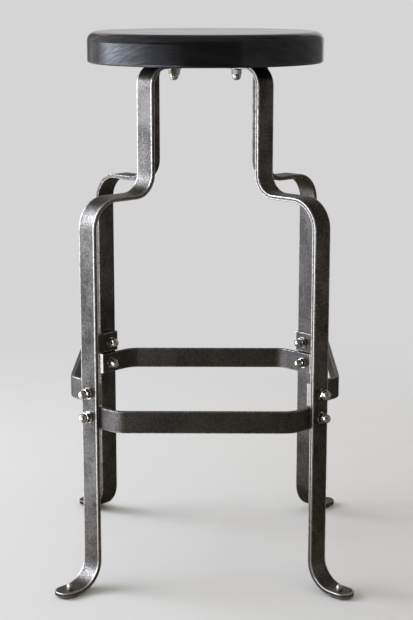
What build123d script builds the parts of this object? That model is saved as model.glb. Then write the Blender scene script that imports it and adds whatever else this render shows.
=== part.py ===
from build123d import *
import os
from math import sqrt, tan, radians

os.makedirs("parts", exist_ok=True)

# Bar stool: a round wooden seat on four bent flat-bar legs, tied by four footrest bars.
# Sizes are in millimetres. The floor is z = 0 and the stool's upright axis is the z axis.
# A reach is a distance from that axis. Inside radii are given for all bends.

# Seat
seat_height = 750.0
seat_diameter = 326.0
seat_thickness = 42.0
seat_top_round = 12.5
seat_bottom_round = 3.0

# Legs, in the order of the strip from the seat down to the foot
leg_width = 30.0
leg_thickness = 6.0
leg_edge_round = 1.0
seat_bolt_reach = 60.0
flange_end_margin = 20.0
flange_flat = 27.5
flange_bend = 22.0
waist_drop = 170.0
waist_bend = 26.0
step_flat = 37.5
shoulder_bend = 35.0
foot_bend = 34.0

# Footrest bars: the front and rear pair is the lower one
footrest_depth = 30.0
footrest_thickness = 5.0
footrest_edge_round = 1.0
footrest_height = 243.5
footrest_gap = 2.5
footrest_bend = 25.0
tab_length = 44.5

# Bolts, washers and cap nuts
bolt_diameter = 8.0
bolt_head_height = 5.3
bolt_tip_chamfer = 1.0
hex_across_flats = 13.0
hex_face_diameter = 12.2
hex_cone_angle = 30.0
washer_diameter = 16.0
washer_thickness = 1.6
nut_height = 15.0
nut_hex_height = 6.5
nut_dome_diameter = 12.5
nut_turn = 23.0
thread_engagement = 7.5
hanger_depth = 28.0
hanger_point = 4.0

# Foot pads and the rivets that hold them
pad_diameter = 24.0
pad_edge_round = 0.8
pad_web = 1.0
rivet_diameter = 5.0
rivet_head_diameter = 9.0
rivet_head_height = 7.0
rivet_foot_diameter = 9.0
rivet_foot_thickness = 1.0
rivet_floor_gap = 1.0
rivet_bend_gap = 0.5
rivet_end_margin = 21.5

# Clearances, on the diameter for round fits and on the length for blind holes
bolt_clearance = 1.0
washer_clearance = 0.4
thread_clearance = 0.2
rivet_clearance = 0.2
recess_clearance = 1.0
blind_clearance = 1.0

# Where each leg and bar stands, in degrees round the axis, seen from above
corner_angles = {"front_left": 225.0, "front_right": 315.0, "rear_left": 135.0, "rear_right": 45.0}
side_angles = {"front": 270.0, "rear": 90.0, "left": 180.0, "right": 0.0}
corner_to_side = 45.0

# Levels and reaches that follow from the sizes above
pad_thickness = rivet_floor_gap + rivet_foot_thickness + pad_web
seat_underside = seat_height - seat_thickness
foot_top = pad_thickness + leg_thickness
step_top = seat_underside - waist_drop
upper_reach = seat_bolt_reach + flange_flat + flange_bend + leg_thickness
lower_reach = upper_reach + waist_bend + step_flat + shoulder_bend + leg_thickness
rivet_reach = lower_reach + foot_bend + rivet_bend_gap + rivet_head_diameter / 2
foot_round_reach = rivet_reach + rivet_end_margin - leg_width / 2
leg_inner_reach = lower_reach - leg_thickness
tab_inner_reach = leg_inner_reach - footrest_thickness
lower_bar_height = footrest_height
upper_bar_height = footrest_height + footrest_depth + footrest_gap
bar_heights = {
    "front": lower_bar_height,
    "rear": lower_bar_height,
    "left": upper_bar_height,
    "right": upper_bar_height,
}
bolt_length = footrest_thickness + leg_thickness + washer_thickness + thread_engagement
hanger_tail = leg_thickness + washer_thickness + thread_engagement


def radial(angle):
    return Vector(1, 0, 0).rotate(Axis.Z, angle)


def upright_plane(angle):
    # Local x is the reach along one corner's diagonal, local y is the height.
    return Plane((0, 0, 0), x_dir=radial(angle), z_dir=radial(angle - 90))


def floor_plane(angle, reach, height):
    return Plane(radial(angle) * reach + Vector(0, 0, height))


def write(part, name):
    part.label = name
    export_step(part, f"parts/{name}.step")


# Seat: a turned disc with four blind holes for the hanger bolts
with BuildPart() as seat:
    with BuildSketch(Plane.XY.offset(seat_underside)):
        Circle(seat_diameter / 2)
    extrude(amount=seat_thickness)
    fillet(seat.edges().sort_by(Axis.Z)[-1], radius=seat_top_round)
    fillet(seat.edges().sort_by(Axis.Z)[0], radius=seat_bottom_round)
    for angle in corner_angles.values():
        seat_point = radial(angle) * seat_bolt_reach + Vector(0, 0, seat_underside)
        with Locations(Plane(seat_point, z_dir=(0, 0, -1))):
            Hole((bolt_diameter + thread_clearance) / 2, depth=hanger_depth + blind_clearance)
write(seat.part, "seat")


# Legs: one strip of flat bar each, swept along its bent centre line, with a full-round foot
def make_leg(angle):
    side = upright_plane(angle)
    flange_middle = seat_underside - leg_thickness / 2
    upper_middle = upper_reach - leg_thickness / 2
    step_middle = step_top - leg_thickness / 2
    lower_middle = lower_reach - leg_thickness / 2
    foot_middle = foot_top - leg_thickness / 2
    bends = (flange_bend, waist_bend, shoulder_bend, foot_bend)
    with BuildPart() as leg:
        with BuildLine(side):
            spine = FilletPolyline(
                (seat_bolt_reach - flange_end_margin, flange_middle),
                (upper_middle, flange_middle),
                (upper_middle, step_middle),
                (lower_middle, step_middle),
                (lower_middle, foot_middle),
                (foot_round_reach, foot_middle),
                radius=[bend + leg_thickness / 2 for bend in bends],
            )
        with BuildSketch(Plane(spine @ 0, x_dir=side.z_dir, z_dir=spine % 0)):
            RectangleRounded(leg_width, leg_thickness, leg_edge_round)
        sweep()
        # The foot's round end is half of the same section, turned about its own upright axis.
        with BuildSketch(Plane(spine @ 1, x_dir=side.z_dir, z_dir=spine % 1)):
            RectangleRounded(leg_width, leg_thickness, leg_edge_round)
            Rectangle(leg_width / 2, leg_thickness, align=(Align.MIN, Align.CENTER), mode=Mode.INTERSECT)
        revolve(axis=Axis(spine @ 1, (0, 0, 1)), revolution_arc=180)
        with Locations(floor_plane(angle, seat_bolt_reach, seat_underside)):
            Hole((bolt_diameter + bolt_clearance) / 2)
        with Locations(floor_plane(angle, rivet_reach, foot_top)):
            Hole((rivet_diameter + rivet_clearance) / 2)
        for height in (lower_bar_height, upper_bar_height):
            bolt_point = radial(angle) * lower_reach + Vector(0, 0, height)
            with Locations(Plane(bolt_point, z_dir=radial(angle))):
                Hole((bolt_diameter + bolt_clearance) / 2)
    return leg.part


for corner, angle in corner_angles.items():
    write(make_leg(angle), f"leg_{corner}")


# Footrest bars: each runs straight between two legs, and its bent ends lie flat on their inner faces
def make_footrest(angle, height):
    # Local -y points out of the stool on this bar's side, and local x runs along the bar.
    side = Plane((0, 0, height), x_dir=radial(angle + 90), z_dir=(0, 0, 1))
    tab_middle = leg_inner_reach - footrest_thickness / 2
    end_x = (tab_middle + leg_width / 2) / sqrt(2)
    end_y = (tab_middle - leg_width / 2) / sqrt(2)
    corner_x = (tab_middle - tab_length) / sqrt(2)
    corner_y = (tab_middle + tab_length) / sqrt(2)
    with BuildPart() as bar:
        with BuildLine(side):
            spine = FilletPolyline(
                (-end_x, -end_y),
                (-corner_x, -corner_y),
                (corner_x, -corner_y),
                (end_x, -end_y),
                radius=footrest_bend + footrest_thickness / 2,
            )
        with BuildSketch(Plane(spine @ 0, x_dir=(0, 0, 1), z_dir=spine % 0)):
            RectangleRounded(footrest_depth, footrest_thickness, footrest_edge_round)
        sweep()
        for corner_angle in (angle - corner_to_side, angle + corner_to_side):
            bolt_point = radial(corner_angle) * leg_inner_reach + Vector(0, 0, height)
            with Locations(Plane(bolt_point, z_dir=radial(corner_angle))):
                Hole((bolt_diameter + bolt_clearance) / 2)
    return bar.part


for side, angle in side_angles.items():
    write(make_footrest(angle, bar_heights[side]), f"footrest_{side}")


# Foot pads: a rubber disc under each foot, recessed below for the rivet's spread end
def make_pad(angle):
    with BuildPart() as pad:
        with BuildSketch(floor_plane(angle, rivet_reach, 0)):
            Circle(pad_diameter / 2)
        extrude(amount=pad_thickness)
        fillet(pad.edges().sort_by(Axis.Z)[0], radius=pad_edge_round)
        with Locations(Plane(radial(angle) * rivet_reach, z_dir=(0, 0, -1))):
            CounterBoreHole(
                radius=(rivet_diameter + rivet_clearance) / 2,
                counter_bore_radius=(rivet_foot_diameter + recess_clearance) / 2,
                counter_bore_depth=pad_thickness - pad_web,
            )
    return pad.part


for corner, angle in corner_angles.items():
    write(make_pad(angle), f"foot_pad_{corner}")


# Rivet: domed head on top of the foot, shank through foot and pad, spread end in the recess
rivet_dome = rivet_head_diameter / 2
grip = leg_thickness + pad_web
with BuildPart() as rivet:
    with BuildSketch(Plane.XZ):
        with BuildLine():
            Polyline(
                (0, rivet_head_height),
                (0, -grip - rivet_foot_thickness),
                (rivet_foot_diameter / 2, -grip - rivet_foot_thickness),
                (rivet_foot_diameter / 2, -grip),
                (rivet_diameter / 2, -grip),
                (rivet_diameter / 2, 0),
                (rivet_dome, 0),
                (rivet_dome, rivet_head_height - rivet_dome),
            )
            CenterArc((0, rivet_head_height - rivet_dome), rivet_dome, start_angle=0, arc_size=90)
        make_face()
    revolve(axis=Axis.Z)
with BuildPart() as foot_rivets:
    with Locations(*[floor_plane(angle, rivet_reach, foot_top) for angle in corner_angles.values()]):
        add(rivet.part)
write(foot_rivets.part, "foot_rivets")


def chamfered_hexagon(height):
    # A hexagon on the ground plane whose corners are coned off at both ends, as on a turned nut.
    corner_radius = hex_across_flats / sqrt(3)
    face_radius = hex_face_diameter / 2
    cone_height = (corner_radius - face_radius) * tan(radians(hex_cone_angle))
    with BuildPart() as hexagon:
        with BuildSketch():
            RegularPolygon(hex_across_flats / 2, 6, major_radius=False)
        extrude(amount=height)
        with BuildSketch(Plane.XZ):
            with BuildLine():
                Polyline(
                    (0, 0),
                    (face_radius, 0),
                    (corner_radius, cone_height),
                    (corner_radius, height - cone_height),
                    (face_radius, height),
                    (0, height),
                    close=True,
                )
            make_face()
        revolve(axis=Axis.Z, mode=Mode.INTERSECT)
    return hexagon.part


# Cap nut: hexagon below, dome above, blind thread from below
nut_dome = nut_dome_diameter / 2
nut_hexagon = chamfered_hexagon(nut_hex_height)
with BuildPart() as cap_nut:
    add(nut_hexagon)
    with BuildSketch(Plane.XZ):
        with BuildLine():
            Polyline(
                (0, nut_height),
                (0, 0),
                (nut_dome, 0),
                (nut_dome, nut_height - nut_dome),
            )
            CenterArc((0, nut_height - nut_dome), nut_dome, start_angle=0, arc_size=90)
        make_face()
    revolve(axis=Axis.Z)
    with Locations(Plane((0, 0, 0), z_dir=(0, 0, -1))):
        Hole((bolt_diameter + thread_clearance) / 2, depth=thread_engagement + blind_clearance)

with BuildPart() as washer:
    with BuildSketch():
        Circle(washer_diameter / 2)
        Circle((bolt_diameter + washer_clearance) / 2, mode=Mode.SUBTRACT)
    extrude(amount=washer_thickness)

# Hexagon bolt: head on the ground plane, shank standing on the head
bolt_hexagon = chamfered_hexagon(bolt_head_height)
with BuildPart() as bolt:
    add(bolt_hexagon)
    with BuildSketch(Plane.XY.offset(bolt_head_height)):
        Circle(bolt_diameter / 2)
    extrude(amount=bolt_length)
    chamfer(bolt.edges().sort_by(Axis.Z)[-1], length=bolt_tip_chamfer)

# Hanger bolt: pointed wood end up into the seat, plain end down through the flange
with BuildPart() as hanger_bolt:
    with BuildSketch(Plane.XY.offset(-hanger_tail)):
        Circle(bolt_diameter / 2)
    extrude(amount=hanger_tail + hanger_depth)
    chamfer(
        hanger_bolt.edges().sort_by(Axis.Z)[-1],
        length=hanger_point,
        length2=bolt_diameter / 4,
    )
    chamfer(hanger_bolt.edges().sort_by(Axis.Z)[0], length=bolt_tip_chamfer)


def joint_planes(front_reach, rear_reach):
    # One plane for each footrest bolt. The front corners face out and the rear ones face in,
    # so that every cap nut is turned to the front of the stool.
    planes = []
    for corner, angle in corner_angles.items():
        at_front = corner.startswith("front")
        reach = front_reach if at_front else rear_reach
        facing = radial(angle) if at_front else -radial(angle)
        for height in (lower_bar_height, upper_bar_height):
            planes.append(Plane(radial(angle) * reach + Vector(0, 0, height), z_dir=facing))
    return planes


def turned(planes):
    # Each tightened hexagon stops at its own angle.
    turned_planes = []
    for index, plane in enumerate(planes):
        x_dir = plane.x_dir.rotate(Axis((0, 0, 0), plane.z_dir), index * nut_turn)
        turned_planes.append(Plane(plane.origin, x_dir=x_dir, z_dir=plane.z_dir))
    return turned_planes


head_planes = joint_planes(tab_inner_reach, lower_reach)
washer_planes = joint_planes(lower_reach, tab_inner_reach)
seat_planes = [floor_plane(angle, seat_bolt_reach, seat_underside) for angle in corner_angles.values()]
flange_planes = [
    Plane(plane.origin - Vector(0, 0, leg_thickness), z_dir=(0, 0, -1)) for plane in seat_planes
]
fastener_groups = {
    "footrest_bolts": (bolt, [plane.offset(-bolt_head_height) for plane in turned(head_planes)]),
    "footrest_washers": (washer, washer_planes),
    "footrest_cap_nuts": (cap_nut, [plane.offset(washer_thickness) for plane in turned(washer_planes)]),
    "seat_hanger_bolts": (hanger_bolt, seat_planes),
    "seat_washers": (washer, flange_planes),
    "seat_cap_nuts": (cap_nut, [plane.offset(washer_thickness) for plane in turned(flange_planes)]),
}
for name, (fastener, planes) in fastener_groups.items():
    with BuildPart() as group:
        with Locations(*planes):
            add(fastener.part)
    write(group.part, name)
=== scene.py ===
import math

import bpy
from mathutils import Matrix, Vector

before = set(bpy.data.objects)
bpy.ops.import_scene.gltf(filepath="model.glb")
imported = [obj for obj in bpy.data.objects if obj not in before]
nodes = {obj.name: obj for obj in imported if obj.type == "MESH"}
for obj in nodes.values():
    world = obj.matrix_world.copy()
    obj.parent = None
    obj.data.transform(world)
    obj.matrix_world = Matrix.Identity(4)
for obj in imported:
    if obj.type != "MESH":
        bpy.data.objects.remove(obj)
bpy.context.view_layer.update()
print("stool frame loaded, nodes:", len(nodes))


def hexColour(code):
    # sRGB hex to linear, with full alpha
    channels = [int(code[i:i + 2], 16) / 255 for i in (1, 3, 5)]
    linear = [c / 12.92 if c <= 0.04045 else ((c + 0.055) / 1.055) ** 2.4 for c in channels]
    return (*linear, 1.0)


def addNode(tree, kind, settings=None, links=None):
    # settings are node properties or socket values, links are socket: source output
    # a colour mix has its two colours at sockets 6 and 7, and its result at output 2
    node = tree.nodes.new(kind)
    for name, value in (settings or {}).items():
        if isinstance(name, str) and hasattr(node, name):
            setattr(node, name, value)
        else:
            node.inputs[name].default_value = value
    for name, source in (links or {}).items():
        tree.links.new(source, node.inputs[name])
    return node


def newMaterial(name):
    material = bpy.data.materials.new(name)
    material.use_nodes = True
    material.node_tree.nodes.clear()
    return material, material.node_tree


def perMetre(millimetres):
    # texture scale that gives features of this size
    return 1000.0 / millimetres


def dress(material, *names):
    for name in names:
        piece = nodes[name]
        if not piece.material_slots:
            piece.data.materials.append(material)
        for materialSlot in piece.material_slots:
            materialSlot.material = material


# Hot-rolled mild steel flat bar with its mill scale left on, waxed.
# The eye gets a dark, mottled, half-glossy grey, bright where handling has worn the arrises.
hotRolled = {
    "scaleDark": "#3c3a37",         # oxide skin
    "scaleLight": "#716d67",        # thin patches of the skin
    "bareSteel": "#c6c1b8",         # worn arrises
    "grazing": "#d4d2d0",           # the oxide stays dull where it is seen edge on
    "mottle": 1.6,                  # mm, grain of the skin, drawn coarser than real to show
    "mottleFine": 0.68,             # how much of the finest grain shows
    "cloud": 34.0,                  # mm, rolled-in patches
    "cloudShare": 0.3,              # how far they carry the mottle
    "drawLine": 0.9,                # mm, width of the rolling lines
    "drawLength": 26.0,             # mm, length of the rolling lines
    "lineShare": 0.12,              # how far they carry the mottle
    "arris": 2.8,                   # mm, how deep the wear looks for an edge; it shows about half as wide
    "wearGrain": 3.0,               # mm, ragged border of the wear
    "wearRagged": 0.5,              # how far the grain breaks it up
    "wearFade": 0.1,                # softness of the border
    "wearBelow": (-0.7, -0.2),      # height of a face's normal: no wear below the first, all above the last
    "frontWear": 1.15,              # the higher, the further the wear spreads
    "rearWear": 1.01,
    "lowBarWear": 1.02,             # front and rear bars
    "highBarWear": 1.05,            # side bars
    "sawnEnd": 21.1,                # mm, the bars' sawn ends lie just past this, measured across a corner
    "sawLine": 0.8,                 # mm
    "sawBite": (0.3, 0.6),          # where a saw line starts and is bare
    "roughness": (0.30, 0.45),      # thin skin and thick
    "roughSkin": (0.47, 0.95),      # mottle at which the roughness starts to fall and ends
    "legSkin": (0.64, 0.81, 0.22),  # where the mottle starts and ends, and its depth in mm
    "barSkin": (0.51, 0.98, 0.06),  # the bars' skin is smoother
    "relief": 0.5,
}
sideways, deep, upright = range(3)  # axis that a strip runs along, as its rolling lines do


def sawnEnds(tree, place, along, bare):
    # a bar's ends lie at equal offsets past the corner diagonals, and no other part of it reaches there
    look = hotRolled
    size = addNode(tree, "ShaderNodeVectorMath", {"operation": "ABSOLUTE"}, {0: place})
    axes = addNode(tree, "ShaderNodeSeparateXYZ", links={0: size.outputs[0]})
    past = addNode(tree, "ShaderNodeMath", {"operation": "SUBTRACT"},
                   {0: axes.outputs[along], 1: axes.outputs[1 - along]})
    end = addNode(tree, "ShaderNodeMath", {"operation": "GREATER_THAN", 1: look["sawnEnd"] / 1000},
                  {0: past.outputs[0]})
    saw = addNode(tree, "ShaderNodeTexNoise", {"Scale": perMetre(look["sawLine"]), "Detail": 2.0},
                  {"Vector": place})
    cut = addNode(tree, "ShaderNodeMapRange",
                  {"From Min": look["sawBite"][0], "From Max": look["sawBite"][1]},
                  {"Value": saw.outputs["Fac"]})
    scored = addNode(tree, "ShaderNodeMath", {"operation": "MULTIPLY"},
                     {0: end.outputs[0], 1: cut.outputs[0]})
    return addNode(tree, "ShaderNodeMath", {"operation": "MAXIMUM"},
                   {0: bare, 1: scored.outputs[0]}).outputs[0]


def hotRolledSteel(name, along, skinKind, wear):
    look = hotRolled
    thick, bald, depth = look[skinKind]
    material, tree = newMaterial(name)
    place = addNode(tree, "ShaderNodeTexCoord").outputs["Object"]
    mottle = addNode(tree, "ShaderNodeTexNoise",
                     {"Scale": perMetre(look["mottle"]), "Detail": 3.0, "Roughness": look["mottleFine"]},
                     {"Vector": place})
    cloud = addNode(tree, "ShaderNodeTexNoise",
                    {"Scale": perMetre(look["cloud"]), "Detail": 3.0, "Roughness": 0.5}, {"Vector": place})
    lineScale = [perMetre(look["drawLength"] if axis == along else look["drawLine"]) for axis in range(3)]
    linePlace = addNode(tree, "ShaderNodeMapping", {"Scale": lineScale}, {"Vector": place})
    line = addNode(tree, "ShaderNodeTexNoise", {"Scale": 1.0, "Detail": 2.0},
                   {"Vector": linePlace.outputs[0]})
    # how thin the skin is here: fine mottle, carried by the clouds and the rolling lines
    carried = addNode(tree, "ShaderNodeMath", {"operation": "MULTIPLY_ADD", 1: look["cloudShare"]},
                      {0: cloud.outputs["Fac"], 2: mottle.outputs["Fac"]})
    thin = addNode(tree, "ShaderNodeMath", {"operation": "MULTIPLY_ADD", 1: look["lineShare"]},
                   {0: line.outputs["Fac"], 2: carried.outputs[0]})
    thinness = addNode(tree, "ShaderNodeMapRange",
                       {"interpolation_type": "SMOOTHSTEP", "From Min": thick, "From Max": bald},
                       {"Value": thin.outputs[0]})
    skin = addNode(tree, "ShaderNodeMix",
                   {"data_type": "RGBA", 6: hexColour(look["scaleDark"]), 7: hexColour(look["scaleLight"])},
                   {0: thinness.outputs[0]})
    # wear: what lies close to an arris, broken up by grain
    near = addNode(tree, "ShaderNodeAmbientOcclusion",
                   {"inside": True, "only_local": True, "samples": 12, "Distance": look["arris"] / 1000})
    ragged = addNode(tree, "ShaderNodeTexNoise",
                     {"Scale": perMetre(look["wearGrain"]), "Detail": 3.0, "Roughness": 0.6},
                     {"Vector": place})
    edge = addNode(tree, "ShaderNodeMath", {"operation": "MULTIPLY_ADD", 1: look["wearRagged"]},
                   {0: ragged.outputs["Fac"], 2: near.outputs["AO"]})
    worn = addNode(tree, "ShaderNodeMapRange",
                   {"interpolation_type": "SMOOTHSTEP", "From Min": wear, "From Max": wear - look["wearFade"]},
                   {"Value": edge.outputs[0]})
    # hands and shoes don't reach what faces the floor
    facing = addNode(tree, "ShaderNodeSeparateXYZ",
                     links={0: addNode(tree, "ShaderNodeNewGeometry").outputs["Normal"]})
    reached = addNode(tree, "ShaderNodeMapRange",
                      {"From Min": look["wearBelow"][0], "From Max": look["wearBelow"][1]},
                      {"Value": facing.outputs[2]})
    bare = addNode(tree, "ShaderNodeMath", {"operation": "MULTIPLY"},
                   {0: worn.outputs[0], 1: reached.outputs[0]}).outputs[0]
    if along != upright:
        bare = sawnEnds(tree, place, along, bare)
    colour = addNode(tree, "ShaderNodeMix", {"data_type": "RGBA", 7: hexColour(look["bareSteel"])},
                     {0: bare, 6: skin.outputs[2]})
    rough = addNode(tree, "ShaderNodeMapRange",
                    {"From Min": look["roughSkin"][0], "From Max": look["roughSkin"][1],
                     "To Min": look["roughness"][1], "To Max": look["roughness"][0]},
                    {"Value": thin.outputs[0]})
    relief = addNode(tree, "ShaderNodeBump", {"Strength": look["relief"], "Distance": depth / 1000},
                     {"Height": thin.outputs[0]})
    shader = addNode(tree, "ShaderNodeBsdfPrincipled",
                     {"Metallic": 1.0, "Specular Tint": hexColour(look["grazing"])},
                     {"Base Color": colour.outputs[2], "Roughness": rough.outputs[0],
                      "Normal": relief.outputs[0]})
    addNode(tree, "ShaderNodeOutputMaterial", links={"Surface": shader.outputs[0]})
    return material


# Open-grained ash, turned, stained black and oiled.
# The eye gets near-black satin with fine streaks that show where light grazes it.
stainedAsh = {
    "stainDark": "#08080a",
    "stainLight": "#15171b",
    "vessel": (55.0, 15.0, 1.6),    # mm, pore lines along the fibres, along a ring and across, drawn coarse
    "ring": (260.0, 80.0, 8.0),     # mm, growth rings, the same way
    "ringShare": 0.5,               # how far the rings carry the pore lines
    "tilt": 26.6,                   # degrees, how the rings lie to the seat's plane
    "streak": (0.58, 0.92),         # where a streak starts and is full
    "roughness": (0.09, 0.26),      # between the pores and in them
    "gloss": (0.56, 0.28),          # the oil's gloss, the same way
    "oilFilm": (0.3, 0.1),          # weight and roughness
    "poreDepth": 0.18,              # mm
    "relief": 0.6,
    "ior": 1.5,
}


def blackStainedAsh():
    look = stainedAsh
    material, tree = newMaterial("blackStainedAsh")
    place = addNode(tree, "ShaderNodeTexCoord").outputs["Object"]
    turned = addNode(tree, "ShaderNodeMapping", {"Rotation": (math.radians(look["tilt"]), 0.0, 0.0)},
                     {"Vector": place})
    vesselPlace = addNode(tree, "ShaderNodeMapping", {"Scale": [perMetre(size) for size in look["vessel"]]},
                          {"Vector": turned.outputs[0]})
    vessel = addNode(tree, "ShaderNodeTexNoise", {"Scale": 1.0, "Detail": 3.0, "Roughness": 0.55},
                     {"Vector": vesselPlace.outputs[0]})
    ringPlace = addNode(tree, "ShaderNodeMapping", {"Scale": [perMetre(size) for size in look["ring"]]},
                        {"Vector": turned.outputs[0]})
    ring = addNode(tree, "ShaderNodeTexNoise", {"Scale": 1.0, "Detail": 2.0},
                   {"Vector": ringPlace.outputs[0]})
    grain = addNode(tree, "ShaderNodeMath", {"operation": "MULTIPLY_ADD", 1: look["ringShare"]},
                    {0: ring.outputs["Fac"], 2: vessel.outputs["Fac"]})
    streak = addNode(tree, "ShaderNodeMapRange",
                     {"interpolation_type": "SMOOTHSTEP", "From Min": look["streak"][0],
                      "From Max": look["streak"][1]}, {"Value": grain.outputs[0]})
    colour = addNode(tree, "ShaderNodeMix",
                     {"data_type": "RGBA", 6: hexColour(look["stainDark"]), 7: hexColour(look["stainLight"])},
                     {0: streak.outputs[0]})
    rough = addNode(tree, "ShaderNodeMapRange",
                    {"To Min": look["roughness"][1], "To Max": look["roughness"][0]},
                    {"Value": streak.outputs[0]})
    gloss = addNode(tree, "ShaderNodeMapRange", {"To Min": look["gloss"][1], "To Max": look["gloss"][0]},
                    {"Value": streak.outputs[0]})
    relief = addNode(tree, "ShaderNodeBump",
                     {"Strength": look["relief"], "Distance": look["poreDepth"] / 1000},
                     {"Height": grain.outputs[0]})
    shader = addNode(tree, "ShaderNodeBsdfPrincipled",
                     {"IOR": look["ior"], "Coat Weight": look["oilFilm"][0],
                      "Coat Roughness": look["oilFilm"][1]},
                     {"Base Color": colour.outputs[2], "Roughness": rough.outputs[0],
                      "Specular IOR Level": gloss.outputs[0], "Normal": relief.outputs[0]})
    addNode(tree, "ShaderNodeOutputMaterial", links={"Surface": shader.outputs[0]})
    return material


# Bright zinc plating on turned steel.
# The eye gets near-mirror silver with a faint clouding of the plating.
zinc = {
    "bright": "#d6d3cc",
    "dull": "#a5a29a",
    "clouding": 2.2,                # mm
    "cloudRange": (0.35, 0.7),      # where the clouding starts and is full
    "turned": (0.08, 0.20),         # roughness of the turned nuts, bolts and washers
    "hammered": (0.34, 0.48),       # roughness of the rivet heads
}


def zincPlate(name, roughness):
    look = zinc
    material, tree = newMaterial(name)
    place = addNode(tree, "ShaderNodeTexCoord").outputs["Object"]
    clouding = addNode(tree, "ShaderNodeTexNoise", {"Scale": perMetre(look["clouding"]), "Detail": 3.0},
                       {"Vector": place})
    dull = addNode(tree, "ShaderNodeMapRange",
                   {"From Min": look["cloudRange"][0], "From Max": look["cloudRange"][1]},
                   {"Value": clouding.outputs["Fac"]})
    colour = addNode(tree, "ShaderNodeMix",
                     {"data_type": "RGBA", 6: hexColour(look["bright"]), 7: hexColour(look["dull"])},
                     {0: dull.outputs[0]})
    rough = addNode(tree, "ShaderNodeMapRange", {"To Min": roughness[0], "To Max": roughness[1]},
                    {"Value": dull.outputs[0]})
    shader = addNode(tree, "ShaderNodeBsdfPrincipled", {"Metallic": 1.0},
                     {"Base Color": colour.outputs[2], "Roughness": rough.outputs[0]})
    addNode(tree, "ShaderNodeOutputMaterial", links={"Surface": shader.outputs[0]})
    return material


# Moulded natural rubber, filled black.
# The eye gets a matt black with a dusty, finely pitted skin.
rubber = {
    "black": "#161616",
    "dusty": "#2c2b29",
    "pit": 0.8,                     # mm, drawn coarser than real to show
    "pitDepth": 0.04,               # mm
    "relief": 0.5,
    "roughness": 0.75,
    "ior": 1.5,
}


def mouldedRubber():
    look = rubber
    material, tree = newMaterial("mouldedRubber")
    place = addNode(tree, "ShaderNodeTexCoord").outputs["Object"]
    pit = addNode(tree, "ShaderNodeTexNoise", {"Scale": perMetre(look["pit"]), "Detail": 2.0},
                  {"Vector": place})
    colour = addNode(tree, "ShaderNodeMix",
                     {"data_type": "RGBA", 6: hexColour(look["black"]), 7: hexColour(look["dusty"])},
                     {0: pit.outputs["Fac"]})
    relief = addNode(tree, "ShaderNodeBump",
                     {"Strength": look["relief"], "Distance": look["pitDepth"] / 1000},
                     {"Height": pit.outputs["Fac"]})
    shader = addNode(tree, "ShaderNodeBsdfPrincipled", {"Roughness": look["roughness"], "IOR": look["ior"]},
                     {"Base Color": colour.outputs[2], "Normal": relief.outputs[0]})
    addNode(tree, "ShaderNodeOutputMaterial", links={"Surface": shader.outputs[0]})
    return material


steelStrips = {                     # finish: run, skin, wear, pieces
    "hotRolledSteelFront": (upright, "legSkin", "frontWear", ("leg_front_left", "leg_front_right")),
    "hotRolledSteelRear": (upright, "legSkin", "rearWear", ("leg_rear_left", "leg_rear_right")),
    "hotRolledSteelAcross": (sideways, "barSkin", "lowBarWear", ("footrest_front", "footrest_rear")),
    "hotRolledSteelDeep": (deep, "barSkin", "highBarWear", ("footrest_left", "footrest_right")),
}
dress(blackStainedAsh(), "seat")
for finish, (run, skinKind, wearKind, strips) in steelStrips.items():
    dress(hotRolledSteel(finish, run, skinKind, hotRolled[wearKind]), *strips)
dress(mouldedRubber(), "foot_pad_front_left", "foot_pad_front_right",
      "foot_pad_rear_left", "foot_pad_rear_right")
dress(zincPlate("brightZincPlate", zinc["turned"]), "footrest_bolts", "footrest_washers",
      "footrest_cap_nuts", "seat_hanger_bolts", "seat_washers", "seat_cap_nuts")
dress(zincPlate("hammeredZincPlate", zinc["hammered"]), "foot_rivets")
print("finishes laid on")


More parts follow.
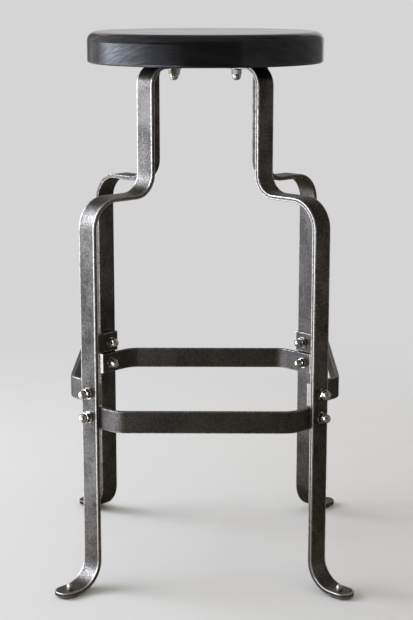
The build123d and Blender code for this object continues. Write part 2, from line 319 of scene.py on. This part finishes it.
# Studio: a pale paper floor that runs out into a pale surround, and soft daylight from the left.
# The near lamps and the cards show only in gloss, where steel and wood mirror them.
studio = {
    "paper": "#d8d4cc",             # floor paper under the stool
    "floorFibre": (60.0, 4.0, 0.97),  # mm, detail and darkest tint of its fibres
    "floorRadius": 40.0,            # m
    "floorSides": 96,
    "fadeStart": 0.45,              # m from the stool, where the floor starts to run out
    "fadeEnd": 1.5,
    "surround": "#d6d5d6",          # what the eye and the metal see further off
    "skylight": "#ffffff",          # light from all round
    "skyStrength": 0.62,
    "daylight": "#e4ecff",          # colour of the lamps
    "lamps": {                      # place, what it faces, size, radiance
        "skyWindow": ((-3.2, 0.15, 1.65), (0.0, 0.0, 0.6), (2.2, 1.5), 10.5),
        "highSash": ((-2.4, 0.6, 2.35), (0.0, 0.0, 0.6), (1.6, 1.4), 4.2),
        "lowSash": ((-0.75, -0.85, 0.30), (0.0, -0.1, 0.30), (0.8, 0.5), 5.0),
        "floorGlow": ((-0.45, -0.10, 0.004), (-0.45, -0.10, 1.0), (0.4, 0.8), 0.5),
        "farWindow": ((-2.65, -1.40, 1.57), (0.0, 0.0, 0.7), (1.2, 0.8), 5.0),
        "curtain": ((-0.876, -0.65, 0.366), (-0.166, -0.65, 1.076), (2.5, 1.08), 7.0),
    },
    "glossOnly": ("lowSash", "floorGlow", "curtain"),  # so near that they would mark the floor
    "seatFlagged": ("skyWindow", "highSash", "farWindow"),  # mirrored, they would burn out the seat's top
    # the curtain's brightness from its rear end to its front one, and from its hem up
    "curtainLength": ((0.0, 0.04), (0.07, 0.28), (0.13, 0.62), (0.19, 0.92), (0.225, 1.0), (0.29, 0.85),
                      (0.43, 0.50), (0.52, 0.28), (0.61, 0.17), (1.0, 0.04)),
    "curtainHeight": ((0.0, 0.10), (0.07, 0.28), (0.15, 0.30), (0.24, 0.24), (0.33, 0.17), (0.43, 0.17),
                      (0.57, 0.62), (0.76, 0.56), (0.86, 0.60), (0.95, 0.85), (1.0, 1.0)),
    "cardFibre": (40.0, 3.0, 0.9),  # as for the floor
    "cards": {                      # colour, and two opposite corners in m
        "frontFloor": ("#887e6f", (-0.25, -2.40, 0.001), (1.60, -0.55, 0.001)),
        "frontWall": ("#5c5349", (-3.00, -2.40, 0.0), (1.60, -2.40, 2.2)),
        "frontWallEnd": ("#a39b92", (-4.00, -2.40, 0.0), (-3.00, -2.40, 2.2)),
        "leftFloor": ("#8e8374", (-4.20, -2.40, 0.001), (-0.25, -0.55, 0.001)),
        "rightFloor": ("#736d65", (0.40, -0.55, 0.001), (1.60, 3.40, 0.001)),
        "rightWall": ("#b8b3ac", (1.60, -2.40, 0.0), (1.60, 3.40, 0.40)),
        "rightWallAbove": ("#85807a", (1.60, -2.40, 0.40), (1.60, 3.40, 2.2)),
        "leftRearWall": ("#f2f0ee", (-1.60, 0.90, 0.0), (-1.60, 2.40, 2.2)),
        "leftRearWallEnd": ("#a0a4b0", (-1.60, 2.40, 0.0), (-1.60, 7.00, 2.2)),
        "underFloor": ("#8e8374", (-0.25, -0.55, 0.001), (0.40, 0.25, 0.001)),
        "rearFloor": ("#8e8374", (-0.90, 0.25, 0.001), (0.40, 3.40, 0.001)),
        "ceiling": ("#9a9896", (-2.00, -3.60, 2.7), (3.60, 2.60, 2.7)),
    },
}


def fibredPaper(tree, place, code, fibre):
    size, detail, darkest = fibre
    fibres = addNode(tree, "ShaderNodeTexNoise", {"Scale": perMetre(size), "Detail": detail},
                     {"Vector": place})
    tint = addNode(tree, "ShaderNodeMapRange", {"To Min": darkest, "To Max": 1.0},
                   {"Value": fibres.outputs["Fac"]})
    colour = addNode(tree, "ShaderNodeVectorMath", {"operation": "SCALE", 0: hexColour(code)[:3]},
                     {"Scale": tint.outputs[0]})
    return addNode(tree, "ShaderNodeBsdfDiffuse", links={"Color": colour.outputs[0]}).outputs[0]


def seenDirectly(tree):
    # 1 for what is looked at, also in gloss or through glass, and 0 for what only lights the stool
    path = addNode(tree, "ShaderNodeLightPath")
    seen = addNode(tree, "ShaderNodeMath", {"operation": "ADD"},
                   {0: path.outputs["Is Camera Ray"], 1: path.outputs["Is Glossy Ray"]})
    return addNode(tree, "ShaderNodeMath", {"operation": "ADD", "use_clamp": True},
                   {0: seen.outputs[0], 1: path.outputs["Is Transmission Ray"]}).outputs[0]


def paperFloor():
    material, tree = newMaterial("paperFloor")
    place = addNode(tree, "ShaderNodeTexCoord").outputs["Object"]
    paper = fibredPaper(tree, place, studio["paper"], studio["floorFibre"])
    glow = addNode(tree, "ShaderNodeEmission", {"Color": hexColour(studio["surround"])})
    distance = addNode(tree, "ShaderNodeVectorMath", {"operation": "LENGTH"}, {0: place})
    fade = addNode(tree, "ShaderNodeMapRange",
                   {"interpolation_type": "SMOOTHSTEP", "From Min": studio["fadeStart"],
                    "From Max": studio["fadeEnd"]}, {"Value": distance.outputs["Value"]})
    share = addNode(tree, "ShaderNodeMath", {"operation": "MULTIPLY"},
                    {0: fade.outputs[0], 1: seenDirectly(tree)})
    mixed = addNode(tree, "ShaderNodeMixShader", links={0: share.outputs[0], 1: paper, 2: glow.outputs[0]})
    addNode(tree, "ShaderNodeOutputMaterial", links={"Surface": mixed.outputs[0]})
    return material


def layFloor():
    radius, sides = studio["floorRadius"], studio["floorSides"]
    angles = [2 * math.pi * i / sides for i in range(sides)]
    rim = [(radius * math.cos(angle), radius * math.sin(angle), 0.0) for angle in angles]
    mesh = bpy.data.meshes.new("paperFloor")
    mesh.from_pydata(rim, [], [tuple(range(sides))])
    mesh.materials.append(paperFloor())
    floor = bpy.data.objects.new("paperFloor", mesh)
    bpy.context.scene.collection.objects.link(floor)


def softLamp(name, place, aim, size, radiance):
    lamp = bpy.data.lights.new(name, "AREA")
    lamp.shape = "RECTANGLE"
    lamp.size, lamp.size_y = size
    lamp.energy = radiance * math.pi * size[0] * size[1]
    lamp.color = hexColour(studio["daylight"])[:3]
    softbox = bpy.data.objects.new(name, lamp)
    softbox.location = place
    softbox.rotation_euler = (Vector(aim) - Vector(place)).to_track_quat("-Z", "Y").to_euler()
    softbox.visible_camera = False
    softbox.visible_diffuse = name not in studio["glossOnly"]
    bpy.context.scene.collection.objects.link(softbox)
    return lamp


def drapeCurtain(lamp):
    # a lit curtain is brightest near the window, dims towards the front and has a dull lower half
    lamp.use_nodes = True
    tree = lamp.node_tree
    tree.nodes.clear()
    spot = addNode(tree, "ShaderNodeSeparateXYZ",
                   links={0: addNode(tree, "ShaderNodeNewGeometry").outputs["Parametric"]})
    light = {}
    for axis, (socket, run) in enumerate((("Color", "curtainLength"), ("Strength", "curtainHeight"))):
        ramp = addNode(tree, "ShaderNodeValToRGB", links={0: spot.outputs[axis]})
        stops, elements = studio[run], ramp.color_ramp.elements
        for stop in stops[1:-1]:
            elements.new(stop[0])
        for element, (place, level) in zip(elements, stops):
            element.position = place
            element.color = (level, level, level, 1.0)
        light[socket] = ramp.outputs[0]
    glow = addNode(tree, "ShaderNodeEmission", links=light)
    addNode(tree, "ShaderNodeOutputLight", links={0: glow.outputs[0]})


def flagOff(piece, names):
    # keeps these lamps' light off the piece
    shaded = bpy.data.collections.new("shaded")
    shaded.objects.link(piece)
    shaded.collection_objects[0].light_linking.link_state = "EXCLUDE"
    for name in names:
        bpy.data.objects[name].light_linking.receiver_collection = shaded


def glossCard(name, code, low, high):
    material, tree = newMaterial(name)
    place = addNode(tree, "ShaderNodeTexCoord").outputs["Object"]
    paper = fibredPaper(tree, place, code, studio["cardFibre"])
    addNode(tree, "ShaderNodeOutputMaterial", links={"Surface": paper})
    (x0, y0, z0), (x1, y1, z1) = low, high
    if y0 == y1:
        between, across = (x1, y0, z0), (x0, y0, z1)
    else:
        between, across = (x0, y1, z0), (x1, y0, z1)
    mesh = bpy.data.meshes.new(name)
    mesh.from_pydata([low, between, high, across], [], [(0, 1, 2, 3)])
    mesh.materials.append(material)
    card = bpy.data.objects.new(name, mesh)
    bpy.context.scene.collection.objects.link(card)
    card.visible_camera = card.visible_diffuse = card.visible_shadow = False


def paleSurround():
    world = bpy.data.worlds.new("paleSurround")
    world.use_nodes = True
    tree = world.node_tree
    tree.nodes.clear()
    lit = addNode(tree, "ShaderNodeBackground",
                  {"Color": hexColour(studio["skylight"]), "Strength": studio["skyStrength"]})
    shown = addNode(tree, "ShaderNodeBackground", {"Color": hexColour(studio["surround"])})
    mixed = addNode(tree, "ShaderNodeMixShader",
                    links={0: seenDirectly(tree), 1: lit.outputs[0], 2: shown.outputs[0]})
    addNode(tree, "ShaderNodeOutputWorld", links={"Surface": mixed.outputs[0]})
    bpy.context.scene.world = world


layFloor()
lamps = {lampName: softLamp(lampName, *values) for lampName, values in studio["lamps"].items()}
drapeCurtain(lamps["curtain"])
flagOff(nodes["seat"], studio["seatFlagged"])
for cardName, values in studio["cards"].items():
    glossCard(cardName, *values)
paleSurround()
print("studio set up")


# Camera at the photograph's place: the image is 413 x 620, so the sensor's 36 mm is its height
view = {
    "place": (0.019, -2.156, 0.8174),
    "pitch": 12.04,                 # degrees down
    "yaw": 0.47,                    # degrees to the left
    "focalPixels": 1543.0,
    "imageHeight": 620.0,
    "sensor": 36.0,                 # mm
}
cameraData = bpy.data.cameras.new("camera")
cameraData.sensor_width = view["sensor"]
cameraData.lens = view["focalPixels"] / view["imageHeight"] * view["sensor"]
camera = bpy.data.objects.new("camera", cameraData)
camera.location = view["place"]
camera.rotation_euler = (math.radians(90.0 - view["pitch"]), 0.0, math.radians(view["yaw"]))
bpy.context.scene.collection.objects.link(camera)
bpy.context.scene.camera = camera
bpy.context.scene.view_settings.view_transform = "Standard"
print("camera placed")
